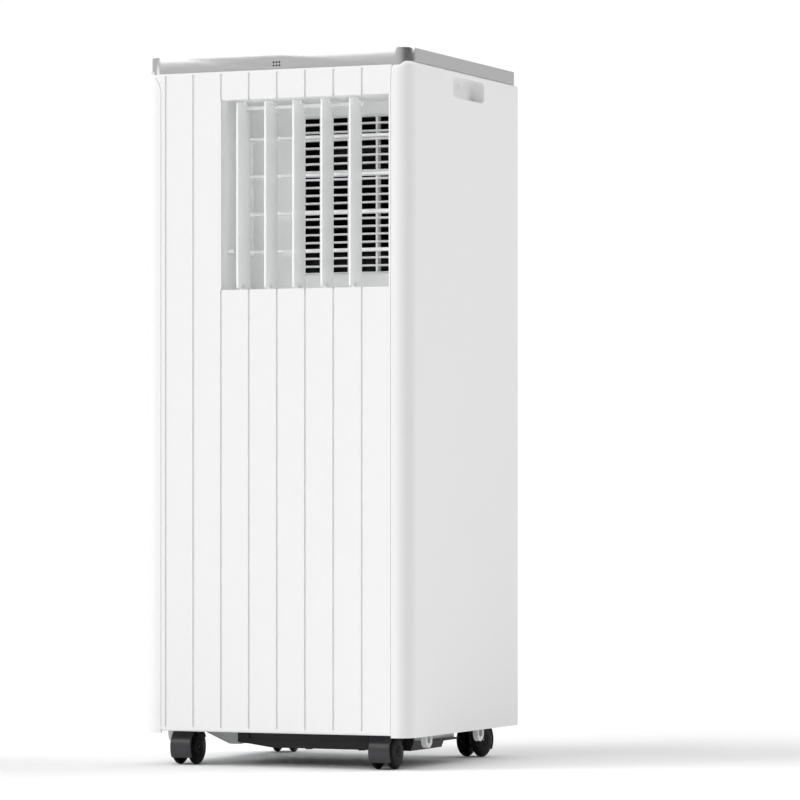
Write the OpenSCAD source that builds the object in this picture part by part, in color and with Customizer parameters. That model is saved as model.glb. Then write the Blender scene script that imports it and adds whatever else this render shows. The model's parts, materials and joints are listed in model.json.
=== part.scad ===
// Portable air conditioner: a narrow column cabinet on four swivel casters, with an upper
// evaporator blower behind a louvred front outlet and a lower condenser blower that exhausts
// through a round port in the back. Millimetres, +Z up, front towards -Y, the floor at Z 0.

/* [Cabinet] */
// Width of the cabinet
body_w = 280; // [250:1:340]
// Depth of the cabinet
body_d = 272; // [260:1:330]
// Height from the floor to the top of the cap
total_h = 680; // [675:1:820]
// Thickness of the moulded panels
wall = 2.5; // [2:0.1:3]
// Plan radius of the two front corners
corner_r = 16; // [8:1:19]
// Height of the side panels' lower edge above the floor
skirt_z = 31; // [28:1:34]
// Depth of the recess in which the rear panel sits
rear_recess = 6; // [5.8:0.1:12]

/* [Front panel] */
// How far each side panel wraps onto the front
front_return = 19.7; // [19.5:0.1:26]
// Width of one plank between two grooves
plank_pitch = 29.4; // [24:0.1:35]
// Width of the groove between two planks
groove_w = 1.6; // [1:0.1:3]
// Depth of the groove between two planks
groove_deep = 0.9; // [0.4:0.1:1.4]
// Height of the front panel's lower edge above the side panels' edge
front_step = 2; // [0:0.5:6]

/* [Cap and controls] */
// Height of the cap's front face
cap_t = 16.7; // [14:0.1:22]
// How far the side panels rise past the front panel
side_rise = 3.6; // [2:0.1:5]
// Inset of the cap from the front and rear faces
cap_front_inset = 4.6; // [3:0.1:8]
// Inset of the cap from the side faces
cap_side_inset = 2.2; // [1:0.1:6]
// Width of the control panel let into the cap
control_w = 168; // [140:1:200]
// Depth of the control panel let into the cap
control_d = 46; // [36:1:60]
// Radius of a push button
button_r = 7; // [5:0.5:9]

/* [Air outlet] */
// Height of the outlet window
outlet_h = 181; // [160:1:190]
// Distance of the window's top edge below the front panel's top edge
outlet_drop = 27.3; // [26:0.1:34]
// Strip of front panel between the window and the right seam
outlet_strip = 2.1; // [2:0.1:6]
// Depth from the front face to the inner grille
outlet_deep = 68; // [64:1:80]
// Wall of the outlet duct
duct_t = 2.5; // [2:0.1:3]
// Front-to-back length of a vertical vane
vane_chord = 27; // [22:0.5:27]
// Thickness of a vertical vane
vane_t = 1.8; // [1.4:0.1:2.4]
// Diameter of the vane's rounded front edge
vane_nose = 2.4; // [2:0.1:3]
// Front-to-back length of a horizontal slat
slat_chord = 24; // [18:0.5:24]
// Radius of the vanes' and slats' pivot pins
pivot_r = 2; // [1.6:0.1:2.4]

/* [Side handles] */
// Length of the hand recess
handle_w = 77; // [70:1:100]
// Height of the hand recess
handle_h = 19.5; // [17:0.5:20]
// Depth of the hand recess
handle_deep = 12; // [8:0.5:14]

/* [Blowers and port] */
// Radius of a blower wheel
fan_r = 56; // [48:1:58]
// Inner radius of the exhaust port
port_r = 65; // [50:1:66]
// Height of the deck between the lower and the upper chamber
deck_z = 412; // [411:1:416]

/* [Casters] */
// Radius of a caster wheel
wheel_r = 17; // [14:0.5:17.5]
// Width over the two wheels of a caster
caster_w = 24.4; // [20:0.1:26]
// Distance from the stem's axis back to the axle
caster_trail = 5; // [3:0.5:5.5]
// Radius of the caster stem
stem_r = 4; // [3:0.5:5]
// Distance of the stems from the cabinet's side faces
caster_in_x = 36; // [34:1:44]
// Distance of the front stems from the front face
caster_in_front = 22.5; // [22.5:0.5:30]
// Distance of the rear stems from the rear edges
caster_in_rear = 19; // [19:0.5:30]

/* [Hidden] */

$fn = 48;
eps = 0.01;
// Gap between two fixed pieces, between a round pin and its hole, and round a moving piece
fit = 0.3;
run = 0.05;
play = 0.4;

WHITE = [0.94, 0.94, 0.94];
SHADE = [0.86, 0.87, 0.87];
SILVER = [0.70, 0.71, 0.71];
BLACK = [0.08, 0.08, 0.09];
STEEL = [0.62, 0.63, 0.65];
COPPER = [0.72, 0.42, 0.26];
FINS = [0.75, 0.77, 0.79];
BOARD = [0.10, 0.35, 0.18];

// Faces of the cabinet
side_x = body_w / 2;
front_y = -body_d / 2;
rear_y = body_d / 2;
rear_face = rear_y - rear_recess;
panel_top = total_h - cap_t;
side_top = panel_top + side_rise;
seam_x = side_x - front_return;
inner_x = side_x - wall - fit;
inner_front = front_y + wall + fit;
inner_rear = rear_face - wall - fit;

// Outlet window: six planks wide, less the strip beside the right seam
win_x1 = seam_x - outlet_strip;
win_x0 = seam_x - 6 * plank_pitch;
win_z1 = panel_top - outlet_drop;
win_z0 = win_z1 - outlet_h;

// Vanes stand at the middle of five of the planks
vane_gap = 4.5;
vane_y0 = front_y + vane_gap;
vane_py = vane_y0 + vane_chord / 2;
peg_back = vane_chord / 2 - 2;
vane_end = 2;
boss_r = pivot_r + 1;
peg_r = 1.5;
notch_h = 7;
link_t = 3;
function vane_x(k) = seam_x - (6.5 - k) * plank_pitch;

// Slats lie behind the vanes, four across the window's height
slat_py = vane_y0 + vane_chord + 6.5 + slat_chord / 2;
slat_rise = 1.7;
slat_nose = 3;
slat_t = 1.6;
slat_x0 = win_x0 + 8.2;
slat_x1 = win_x1 - 1.5;
slat_peg_back = 9;
lever_w = 4.2;
lever_tip = front_y + 14;
motor_shaft = 9;
function slat_z(k) = win_z0 + slat_rise + k * outlet_h / 5;

// Inner grille, from the fourth groove's vane to the window's right edge
grille_x0 = vane_x(2);
grille_y = front_y + outlet_deep;
grille_t = 8;
grille_rows = 20;
grille_pitch = 7.58;
grille_rib = 1.8;
grille_z1 = win_z1 - 12.6;
grille_z0 = grille_z1 - grille_rows * grille_pitch;
duct_end = grille_y + grille_t;

// Blowers: the spiral opens from scroll_r0 to scroll_r1
scroll_t = 2;
scroll_r0 = fan_r + 6;
scroll_r1 = fan_r + 20;
upper_x0 = grille_x0 - scroll_t;
upper_x1 = win_x1 + scroll_t;
upper_y = duct_end + fit + scroll_r0 + 2;
upper_z = (grille_z0 + grille_z1) / 2;
lower_half = port_r + 5;
lower_y = -12;
lower_z = deck_z - scroll_r1 - scroll_t - 2;
shaft_r = 4;
motor_r = 36;
motor_len = 40;

// Heat exchangers
coil_t = 36;
coil_half = side_x - 30;
coil_y1 = inner_rear - 9.5;
coil_y0 = coil_y1 - coil_t;
cond_z0 = 64;
cond_z1 = lower_z - scroll_r1 - scroll_t - 12;
evap_z0 = deck_z + 3;
evap_z1 = total_h - 40;

// Intake grille in the rear panel
intake_half = side_x - 30;
intake_z0 = evap_z0 + 20;
intake_z1 = evap_z1 - 2;

// Base
base_z = 38;
base_floor = 3;
base_rim = 22;
sump_bottom = 18.5;
sump_side = 33;
sump_slope = 33;
tray_top = 24;
sump_y0 = front_y + 59;
sump_y1 = front_y + 165;
sump_left = seam_x - 229;
tray_left = seam_x - 185;
tray_right = seam_x - 0.3;
tray_y0 = front_y + 55;
tray_y1 = tray_y0 + 76;
tray_step = 34;
tray_bottom = 16;
socket_r = stem_r + 4.5;
socket_top = 60;
lug_y = [front_y + 55.5, front_y + 184.7];
lug_r = 8.2;
lug_z = 27.6;
lug_t = 5;

// Drains and gland, on the rear face
spigot_r = 7;
spigot_bore = 4.5;
drain_at = [60, base_z + 12];
gland_at = [-(side_x - 24), base_z + 38];
gland_r = 4;

// Casters: corner, turn about the stem
caster_x = side_x - caster_in_x;
caster_front_y = front_y + caster_in_front;
caster_rear_y = rear_y - caster_in_rear;
rear_turn = -10;
function stem_y(s) = s < 0 ? caster_front_y : caster_rear_y;
hood_gap = 0.8;
hood_t = 1.3;
axle_r = 1.5;
web_t = 4;

// Compressor and electrical box
comp_x = -68;
comp_y = -28;
comp_r = 50;
foot_ring = 60;
comp_z0 = base_z + base_floor + 10;
comp_z1 = cond_z1 - 8;
box_x = [18, inner_x - 12];
box_y = [inner_front + 3, inner_front + 52];
box_z = [base_z + 32, cond_z1 - 4];

// A block between two corners
module span(x, y, z) {
  translate([x[0], y[0], z[0]]) cube([x[1] - x[0], y[1] - y[0], z[1] - z[0]]);
}

// Plan outline: half width, front and rear edges, rounded front corners
module plan(half, y0, y1, r) {
  translate([-half, y0 + r]) square([2 * half, y1 - y0 - r]);
  translate([-half + r, y0]) square([2 * (half - r), r + eps]);
  for (s = [-1, 1]) translate([s * (half - r), y0 + r]) circle(r);
}

// Rectangle with four rounded corners, centred
module rounded(w, h, r) {
  square([w - 2 * r, h], center = true);
  square([w, h - 2 * r], center = true);
  for (x = [-1, 1], y = [-1, 1]) translate([x * (w / 2 - r), y * (h / 2 - r)]) circle(r);
}

// A round bar along X or Y
module bar_x(r, x0, x1, y, z) {
  translate([x0, y, z]) rotate([0, 90, 0]) cylinder(r = r, h = x1 - x0);
}
module bar_y(r, y0, y1, x, z) {
  translate([x, y0, z]) rotate([-90, 0, 0]) cylinder(r = r, h = y1 - y0);
}

// ---- Casing ----

module front_panel() {
  z0 = skirt_z + front_step;
  edge = seam_x - fit / 2;
  lip = 6;
  grooves = floor((2 * edge - 3) / plank_pitch);
  color(WHITE) difference() {
    union() {
      span([-edge, edge], [front_y, front_y + wall], [z0, panel_top]);
      span([-caster_x + 22, caster_x - 22], [front_y + wall - eps, front_y + wall + lip], [z0, z0 + wall]);
      span([-edge + 2, edge - 2], [front_y + wall - eps, front_y + wall + lip],
           [panel_top - 8, panel_top - 8 + wall]);
    }
    for (k = [1 : grooves])
      span([seam_x - k * plank_pitch - groove_w / 2, seam_x - k * plank_pitch + groove_w / 2],
           [front_y - 1, front_y + groove_deep], [z0 + 4, panel_top - 2]);
    span([win_x0, win_x1], [front_y - 1, front_y + wall + 1], [win_z0, win_z1]);
  }
}

// Side panel on the right: front wrap, hand recess and a rear flange for the screws
module side_shell() {
  handle_z = side_top - 15.65;
  handle_y = 8.5;
  pocket = 2;
  flange = 11;
  difference() {
    union() {
      translate([0, 0, skirt_z]) linear_extrude(side_top - skirt_z) intersection() {
        difference() {
          plan(side_x, front_y, rear_y, corner_r);
          plan(side_x - wall, front_y + wall, rear_y + 1, corner_r - wall);
        }
        translate([seam_x + fit / 2, front_y - 1]) square([front_return + 1, body_d + 2]);
      }
      translate([side_x - handle_deep - pocket, handle_y, handle_z]) rotate([90, 0, 90])
        linear_extrude(handle_deep + pocket - eps) rounded(handle_w + 2 * pocket, handle_h + 2 * pocket, 7);
      span([side_x - wall - flange, side_x - wall + eps], [inner_rear - wall, inner_rear],
           [base_z + base_rim + 4, side_top - 6]);
    }
    translate([side_x - handle_deep, handle_y, handle_z]) rotate([90, 0, 90])
      linear_extrude(handle_deep + 1) rounded(handle_w, handle_h, 5);
    bar_x(1.9, side_x - handle_deep - pocket - 1, side_x, handle_y, handle_z + 3.8);
    for (z = rear_screw_z())
      bar_y(1.7, inner_rear - wall - 1, inner_rear + 1, rear_screw_x(), z);
  }
}

function rear_screw_x() = side_x - wall - 6;
function rear_screw_z() = [base_z + 45, lower_z, evap_z0 + 4, side_top - 24];

module right_side_panel() color(SHADE) side_shell();
module left_side_panel() color(SHADE) mirror([1, 0, 0]) side_shell();

module rear_panel() {
  slot_n = floor((cond_z1 - cond_z0 - 12) / 12);
  color(WHITE) difference() {
    span([-inner_x, inner_x], [rear_face - wall, rear_face], [base_z + 1, side_top - 2]);
    span([-intake_half - fit, intake_half + fit], [rear_face - wall - 1, rear_face + 1],
         [intake_z0 - fit, intake_z1 + fit]);
    for (k = [0 : slot_n - 1], s = [-1, 1])
      span([s > 0 ? 4 : -coil_half + 6, s > 0 ? coil_half - 6 : -4],
           [rear_face - wall - 1, rear_face + 1], [cond_z0 + 12 + 12 * k, cond_z0 + 19 + 12 * k]);
    bar_y(port_r + 2.5 + fit, rear_face - wall - 1, rear_face + 1, 0, lower_z);
    bar_y(spigot_r + fit, rear_face - wall - 1, rear_face + 1, drain_at[0], drain_at[1]);
    bar_y(gland_r + 2.5 + fit, rear_face - wall - 1, rear_face + 1, gland_at[0], gland_at[1]);
    for (s = [-1, 1], z = rear_screw_z())
      bar_y(1.9, rear_face - wall - 1, rear_face + 1, s * rear_screw_x(), z);
  }
}

// Cap: an inverted tray with a front skirt that closes down onto the front panel
cap_half = side_x - cap_side_inset;
cap_y0 = front_y + cap_front_inset;
cap_y1 = rear_y - cap_front_inset;
cap_wall = 3;
control_y = cap_y0 + 30 + control_d / 2;
control_t = 1.6;

module top_cap() {
  ir_pitch = 3;
  ir_z = panel_top + 4.3;
  color(SILVER) difference() {
    union() {
      translate([0, 0, side_top]) linear_extrude(total_h - side_top) plan(cap_half, cap_y0, cap_y1, corner_r);
      span([-seam_x + 0.5, seam_x - 0.5], [cap_y0, cap_y0 + cap_wall], [panel_top + 0.2, side_top + eps]);
    }
    translate([0, 0, side_top - 1]) linear_extrude(total_h - side_top + 1 - cap_wall)
      plan(cap_half - cap_wall, cap_y0 + cap_wall, cap_y1 - cap_wall, corner_r - cap_wall);
    translate([0, control_y, total_h - control_t]) linear_extrude(control_t + 1)
      rounded(control_w + fit, control_d + fit, 8);
    for (x = [-1 : 1], z = [0, 1])
      bar_y(0.85, cap_y0 - 1, cap_y0 + cap_wall + 1, x * ir_pitch, ir_z + z * ir_pitch);
    for (b = buttons())
      translate([b[0], b[1], total_h - 6]) cylinder(r = button_r + play, h = 10);
    translate([0, control_y, total_h - 5]) linear_extrude(10) rounded(42, 20, 3);
  }
}

function buttons() = [
  [-control_w * 0.40, control_y], [-control_w * 0.24, control_y],
  [control_w * 0.24, control_y], [control_w * 0.40, control_y]
];

module control_panel() {
  color(BLACK) difference() {
    translate([0, control_y, total_h - control_t]) linear_extrude(control_t - 0.2)
      rounded(control_w, control_d, 8);
    for (b = buttons())
      translate([b[0], b[1], total_h - 6]) cylinder(r = button_r + play, h = 10);
    translate([0, control_y, total_h - 5]) linear_extrude(10) rounded(42, 20, 3);
  }
}

module display_lens() {
  color([0.12, 0.12, 0.14]) translate([0, control_y, total_h - 3.4])
    linear_extrude(3.3) rounded(42 - fit, 20 - fit, 3);
}

module button(k) {
  b = buttons()[k];
  color(SHADE) translate([b[0], b[1], 0]) {
    translate([0, 0, total_h - 4.2]) cylinder(r = button_r, h = 4);
    translate([0, 0, total_h - 6]) cylinder(r = button_r + 1.6, h = 2);
    translate([0, 0, total_h - 7.5]) cylinder(r = 2, h = 2);
  }
}

// Board under the controls, hung from the cap on four posts
module display_board() {
  z0 = total_h - 11.5;
  half = control_w / 2 + 6;
  color(BOARD) {
    span([-half, half], [control_y - 20, control_y + 20], [z0, z0 + 1.6]);
    for (b = buttons()) translate([b[0], b[1], z0 + 1.5]) cylinder(r = 3, h = 1);
    for (x = [-1, 1], y = [-1, 1])
      translate([x * (half - 3), control_y + y * 16, z0 + 1.5])
        cylinder(r = 2, h = total_h - cap_wall - z0 - 1.5);
  }
}

// ---- Base ----

// Side view of the sump below the floor: a sloping left end beside the tray, a flat seat over it
module sump_outline() {
  polygon([[sump_left, base_z + 1], [sump_left, sump_side], [sump_left + sump_slope, sump_bottom],
           [tray_left - fit, sump_bottom], [tray_left - fit, tray_top], [tray_right - 4, tray_top],
           [tray_right - 4, base_z + 1]]);
}

// Its hollow, open downwards over the tray
module sump_hollow() {
  t = 2.5;
  polygon([[sump_left + t, base_z], [sump_left + t, sump_side + t], [sump_left + sump_slope + t, sump_bottom + t],
           [tray_left + t, sump_bottom + t], [tray_left + t, tray_top - 1], [tray_right - 4 - t, tray_top - 1],
           [tray_right - 4 - t, base_z]]);
}

module lug(y) {
  x0 = side_x - 9;
  difference() {
    union() {
      bar_x(lug_r, x0, x0 + lug_t, y, lug_z);
      span([x0, x0 + lug_t], [y - lug_r, y + lug_r], [lug_z, base_z + 1]);
    }
    bar_x(4, x0 - 1, x0 + lug_t + 1, y, lug_z);
  }
}

module base_pan() {
  rim_in = 2.5;
  color(SHADE) {
    difference() {
      union() {
        translate([0, 0, base_z]) linear_extrude(base_rim) plan(inner_x, inner_front, inner_rear, corner_r - wall - fit);
        translate([0, sump_y1, 0]) rotate([90, 0, 0]) linear_extrude(sump_y1 - sump_y0) sump_outline();
        bar_y(spigot_r, inner_rear - 1, rear_face + 1, drain_at[0], drain_at[1]);
      }
      translate([0, 0, base_z + base_floor]) linear_extrude(base_rim)
        plan(inner_x - rim_in, inner_front + rim_in, inner_rear - rim_in, corner_r - wall - fit - rim_in);
      translate([0, sump_y1 - 2, 0]) rotate([90, 0, 0]) linear_extrude(sump_y1 - sump_y0 - 4) sump_hollow();
      bar_y(spigot_bore, inner_rear - rim_in - 1, rear_face + 2, drain_at[0], drain_at[1]);
      for (x = [-1, 1], y = [-1, 1])
        translate([x * caster_x, stem_y(y), base_z - 1]) cylinder(r = stem_r + run, h = 10);
    }
    for (x = [-1, 1], y = [-1, 1]) translate([x * caster_x, stem_y(y), base_z]) difference() {
      cylinder(r = socket_r, h = socket_top - base_z);
      translate([0, 0, -1]) cylinder(r = stem_r + run, h = socket_top - base_z + 2);
    }
    for (y = lug_y) {
      lug(y);
      mirror([1, 0, 0]) lug(y);
    }
  }
}

// Tray under the sump: a tapered left end, a deep front half and a shallow rear step
module compressor_tray() {
  taper = 37;
  lip = 9;
  color(BLACK) {
    translate([0, tray_y1, 0]) rotate([90, 0, 0]) linear_extrude(tray_y1 - tray_y0)
      polygon([[tray_left, tray_top], [tray_left, tray_top - 3], [tray_left + taper, tray_bottom],
               [tray_right - 3, tray_bottom], [tray_right, tray_top]]);
    span([tray_left, tray_right], [tray_y1 - eps, tray_y1 + tray_step], [tray_top - 1.8, tray_top]);
    difference() {
      span([tray_left, tray_right], [tray_y0, sump_y0 - fit], [tray_top - eps, tray_top + lip + 3]);
      for (x = [tray_left + 12, tray_right - 42])
        span([x, x + 5], [tray_y0 - 1, tray_y0 + 1.2], [tray_top + 1, tray_top + lip + 4]);
    }
    for (x = [tray_left + 62, tray_left + 118]) translate([x, tray_y0 + 30, tray_bottom - 2.4]) cylinder(r = 3.6, h = 2.5);
  }
}

// Deck between the two chambers, with a rim that catches the evaporator's water
module mid_deck() {
  t = 3;
  rim_in = 2.5;
  color(SHADE) difference() {
    union() {
      translate([0, 0, deck_z]) linear_extrude(t) plan(inner_x, inner_front, inner_rear, corner_r - wall - fit);
      span([-inner_x, inner_x], [coil_y0 - 8, inner_rear], [deck_z, deck_z + 18]);
    }
    span([-inner_x + rim_in, inner_x - rim_in], [coil_y0 - 6, inner_rear - rim_in], [deck_z + t, deck_z + 20]);
    translate([-side_x + 24, coil_y0 - 24, deck_z - 1]) cylinder(r = 9, h = 6);
    span([inner_x - 14 - wall, inner_x + 1], [inner_rear - wall - 0.5, inner_rear + 1], [deck_z - 1, deck_z + 20]);
    span([-inner_x - 1, -inner_x + 14 + wall], [inner_rear - wall - 0.5, inner_rear + 1], [deck_z - 1, deck_z + 20]);
  }
}

// ---- Air outlet ----

module outlet_duct() {
  color(WHITE) difference() {
    span([win_x0 - duct_t, win_x1 + 1.8], [inner_front, duct_end], [win_z0 - duct_t, win_z1 + duct_t]);
    span([win_x0, win_x1], [inner_front - 1, grille_y], [win_z0, win_z1]);
    span([grille_x0, win_x1], [grille_y - 1, duct_end + 1], [grille_z0, grille_z1]);
    for (k = [1 : 5]) translate([vane_x(k), vane_py, win_z0 - duct_t - 1])
      cylinder(r = pivot_r + run, h = outlet_h + 2 * duct_t + 2);
    for (k = [1 : 4]) bar_x(pivot_r + run, win_x0 - duct_t - 1, win_x1 + 4, slat_py, slat_z(k));
  }
}

module outlet_grille() {
  x0 = grille_x0 + fit;
  x1 = win_x1 - fit;
  z0 = grille_z0 + fit;
  z1 = grille_z1 - fit;
  color(WHITE) {
    for (k = [1 : grille_rows - 1])
      span([x0, x1], [grille_y, duct_end], [grille_z0 + k * grille_pitch - grille_rib / 2,
                                            grille_z0 + k * grille_pitch + grille_rib / 2]);
    for (x = [x0, vane_x(3) - 1, vane_x(4) - 1, vane_x(5) - 1, x1 - 2])
      span([x, x + 2], [grille_y, duct_end], [z0, z1]);
    for (z = [z0, z1 - 1.2]) span([x0, x1], [grille_y, duct_end], [z, z + 1.2]);
  }
}

// Vertical vane: a thin blade with a round nose, two pivot pins and a peg for the link
module vane(k) {
  z0 = win_z0 + vane_end;
  z1 = win_z1 - vane_end;
  tail = vane_y0 + vane_chord;
  color(WHITE) translate([vane_x(k), 0, 0]) {
    difference() {
      union() {
        span([-vane_t / 2, vane_t / 2], [vane_y0 + vane_nose / 2, tail], [z0, z1]);
        translate([0, vane_y0 + vane_nose / 2, z0]) cylinder(r = vane_nose / 2, h = z1 - z0);
      }
      span([-5, 5], [vane_py + 6, tail + 1], [z1 - notch_h, z1 + 1]);
    }
    translate([0, vane_py + peg_back, z1 - notch_h - 3]) cylinder(r = peg_r + 0.6, h = 3);
    translate([0, vane_py + peg_back, z1 - notch_h - 1]) cylinder(r = peg_r, h = notch_h + 0.5);
    for (z = [z0, z1]) translate([0, vane_py, z - (z == z0 ? vane_end - play : 3)])
      cylinder(r = boss_r, h = vane_end - play + 3);
    translate([0, vane_py, win_z0 - duct_t + 0.2]) cylinder(r = pivot_r, h = duct_t + vane_end);
    translate([0, vane_py, z1 - 1]) cylinder(r = pivot_r, h = duct_t + vane_end + 0.8);
  }
}

// Bar that joins the five vanes' pegs
module vane_link() {
  z0 = win_z1 - vane_end - notch_h + 1.5;
  color(WHITE) difference() {
    union() {
      span([vane_x(1), vane_x(5)], [vane_py + peg_back - 2.6, vane_py + peg_back + 2.6], [z0, z0 + link_t]);
      for (k = [1, 5]) translate([vane_x(k), vane_py + peg_back, z0]) cylinder(r = 3.4, h = link_t);
    }
    for (k = [1 : 5]) translate([vane_x(k), vane_py + peg_back, z0 - 1]) cylinder(r = peg_r + 0.1, h = link_t + 2);
  }
}

// Horizontal slat: blade with a round nose, end pins and a peg for the link.
// The lowest one also carries the finger lever and the shaft of the swing motor.
module slat(k) {
  y0 = slat_py - slat_chord / 2;
  y1 = slat_py + slat_chord / 2;
  z = slat_z(k);
  shaft_end = win_x0 - duct_t - (k == 1 ? motor_shaft : -0.2);
  color(WHITE) {
    difference() {
      span([slat_x0, slat_x1], [y0 + slat_nose / 2, y1], [z - slat_t / 2, z + slat_t / 2]);
      span([slat_x0 - 1, slat_x0 + 3], [slat_py + 5, y1 + 1], [z - 5, z + 5]);
    }
    bar_x(slat_nose / 2, slat_x0, slat_x1, y0 + slat_nose / 2, z);
    bar_x(boss_r, slat_x0 - 2, slat_x0 + 4, slat_py, z);
    bar_x(boss_r, slat_x1 - 4, slat_x1 + 0.8, slat_py, z);
    bar_x(pivot_r, shaft_end, slat_x0, slat_py, z);
    bar_x(pivot_r, slat_x1, win_x1 + 1.7, slat_py, z);
    span([slat_x0 - 0.5, slat_x0 + 3], [slat_py, slat_py + slat_peg_back + 2], [z - slat_t / 2, z + slat_t / 2]);
    bar_x(peg_r, slat_x0 - 5, slat_x0, slat_py + slat_peg_back, z);
    if (k == 1) {
      span([win_x0 + 1, win_x0 + 1 + lever_w], [lever_tip + 1.5, slat_py], [z - 1.2, z + 1.2]);
      bar_x(1.5, win_x0 + 1, win_x0 + 1 + lever_w, lever_tip + 1.5, z);
      span([win_x0 + 1, slat_x0 + 2], [y0 + 3, slat_py], [z - 1.2, z + 1.2]);
    }
  }
}

// Upright bar that joins the four slats' pegs
module slat_link() {
  x0 = slat_x0 - 4.4;
  y = slat_py + slat_peg_back;
  color(WHITE) difference() {
    union() {
      span([x0, x0 + 2], [y - 2.4, y + 2.4], [slat_z(1), slat_z(4)]);
      for (k = [1, 4]) bar_x(3.2, x0, x0 + 2, y, slat_z(k));
    }
    for (k = [1 : 4]) bar_x(peg_r + 0.1, x0 - 1, x0 + 3, y, slat_z(k));
  }
}

module swing_motor() {
  x1 = win_x0 - duct_t - fit;
  color(STEEL) difference() {
    union() {
      bar_x(14, x1 - 19, x1 - 1, slat_py, slat_z(1));
      span([x1 - 2, x1], [slat_py - 5, slat_py + 5], [slat_z(1) - 21, slat_z(1) + 21]);
      span([x1 - 17, x1 - 3], [slat_py - 7, slat_py + 7], [slat_z(1) - 17, slat_z(1)]);
    }
    bar_x(pivot_r + run, x1 - motor_shaft - 1, x1 + 1, slat_py, slat_z(1));
    for (s = [-1, 1]) bar_x(1.6, x1 - 3, x1 + 1, slat_py, slat_z(1) + s * 17.5);
  }
}

// ---- Blowers ----

// Spiral outline with its mouth towards +X, grown outwards by t
module spiral(len, t) {
  turn = 225;
  steps = 30;
  polygon(concat(
    [for (i = [0 : steps])
      let (a = -45 - turn * i / steps, r = scroll_r0 + t + (scroll_r1 - scroll_r0) * i / steps)
      [r * cos(a), r * sin(a)]],
    [[len, scroll_r1 + t], [len, -scroll_r1 - t]]));
}

// Housing: spiral walls, two cheeks, a shaft hole on the motor's side and an inlet on the other
module scroll_shell(width, len) {
  difference() {
    linear_extrude(width) spiral(len, scroll_t);
    translate([0, 0, scroll_t]) linear_extrude(width - 2 * scroll_t) spiral(len + 1, 0);
    translate([0, 0, -1]) cylinder(r = shaft_r + 4, h = scroll_t + 2);
    translate([0, 0, width - scroll_t - 1]) cylinder(r = fan_r - 8, h = scroll_t + 2);
  }
}

// Blower wheel on its shaft: back disc, blades and front ring, the shaft running out below Z 0
module fan_wheel(width, shaft_len) {
  blades = 20;
  blade_t = 1.4;
  blade_l = 10;
  cylinder(r = fan_r, h = 2);
  cylinder(r = 11, h = 16);
  translate([0, 0, width - 3]) difference() {
    cylinder(r = fan_r, h = 3);
    translate([0, 0, -1]) cylinder(r = fan_r - blade_l, h = 5);
  }
  for (k = [0 : blades - 1]) rotate([0, 0, k * 360 / blades])
    translate([fan_r - blade_l / 2 - 1.2, 0, 1]) rotate([0, 0, 20])
      translate([-blade_l / 2, -blade_t / 2, 0]) cube([blade_l, blade_t, width - 2]);
  translate([0, 0, -shaft_len]) cylinder(r = shaft_r, h = shaft_len + 1);
}

// Blower motor with a shaft bore and four mounting arms, its face at Z 0
module fan_motor() {
  difference() {
    union() {
      translate([0, 0, -motor_len]) cylinder(r = motor_r, h = motor_len - 2);
      translate([0, 0, -4]) cylinder(r = motor_r - 10, h = 4);
      for (a = [45 : 90 : 315]) rotate([0, 0, a]) {
        translate([0, -5, -6]) cube([motor_r + 10, 10, 3]);
        translate([motor_r + 6, 0, -6]) cylinder(r = 4, h = 6);
      }
    }
    translate([0, 0, -26]) cylinder(r = shaft_r + run, h = 30);
  }
}

// The upper blower mouths forwards, the lower one backwards; both have their axis along X
module at_upper(x) translate([x, upper_y, upper_z]) mirror([0, 1, 0]) rotate([90, 0, 90]) children();
module at_lower(x) translate([x, lower_y, lower_z]) rotate([90, 0, 90]) children();

upper_width = upper_x1 - upper_x0;
upper_len = upper_y - duct_end - fit;
lower_width = 2 * lower_half;
lower_len = inner_rear - 0.5 - lower_y;
wheel_gap = 7;

module upper_scroll() color(BLACK) at_upper(upper_x0) scroll_shell(upper_width, upper_len);
module upper_impeller() color(BLACK) at_upper(upper_x0 + wheel_gap)
  fan_wheel(upper_width - 2 * wheel_gap, wheel_gap + 22);
module upper_motor() color(STEEL) at_upper(upper_x0 - fit) fan_motor();

module lower_scroll() {
  plate = 2.5;
  color(BLACK) difference() {
    union() {
      at_lower(-lower_half) scroll_shell(lower_width, lower_len - plate);
      span([-lower_half, lower_half], [inner_rear - 0.5 - plate - eps, inner_rear - 0.5],
           [lower_z - scroll_r1 - scroll_t, lower_z + scroll_r1 + scroll_t]);
    }
    bar_y(port_r + 2.5 + fit, inner_rear - 8, inner_rear + 1, 0, lower_z);
  }
}
module lower_impeller() color(BLACK) at_lower(-lower_half + wheel_gap)
  fan_wheel(lower_width - 2 * wheel_gap, wheel_gap + 22);
module lower_motor() color(STEEL) at_lower(-lower_half - fit) fan_motor();

// Hose port: a sleeve through the rear panel with a flange on its face
module exhaust_collar() {
  color(WHITE) difference() {
    union() {
      bar_y(port_r + 2.5, inner_rear - 5, rear_face + 5, 0, lower_z);
      bar_y(port_r + 9, rear_face + 0.2, rear_face + 2.7, 0, lower_z);
    }
    bar_y(port_r, inner_rear - 6, rear_face + 6, 0, lower_z);
  }
}

// ---- Refrigeration ----

// Finned block between two end plates, with return bends on the right
module coil(z0, z1) {
  plate = 1.5;
  rows = floor((z1 - z0 - 16) / 30);
  color(FINS) {
    span([-coil_half + plate, coil_half - plate], [coil_y0 + 1, coil_y1 - 1], [z0 + 1, z1 - 1]);
    for (s = [-1, 1])
      span([s > 0 ? coil_half - plate - eps : -coil_half, s > 0 ? coil_half : -coil_half + plate + eps],
           [coil_y0, coil_y1], [z0, z1]);
  }
  color(COPPER) for (k = [0 : rows - 1])
    translate([coil_half - eps, (coil_y0 + coil_y1) / 2, z0 + 22 + 30 * k]) rotate([90, 0, 0])
      rotate([0, 0, -90]) rotate_extrude(angle = 180) translate([8, 0]) circle(r = 3.2);
}

module evaporator() coil(evap_z0, evap_z1);
module condenser() coil(cond_z0, cond_z1);

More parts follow.
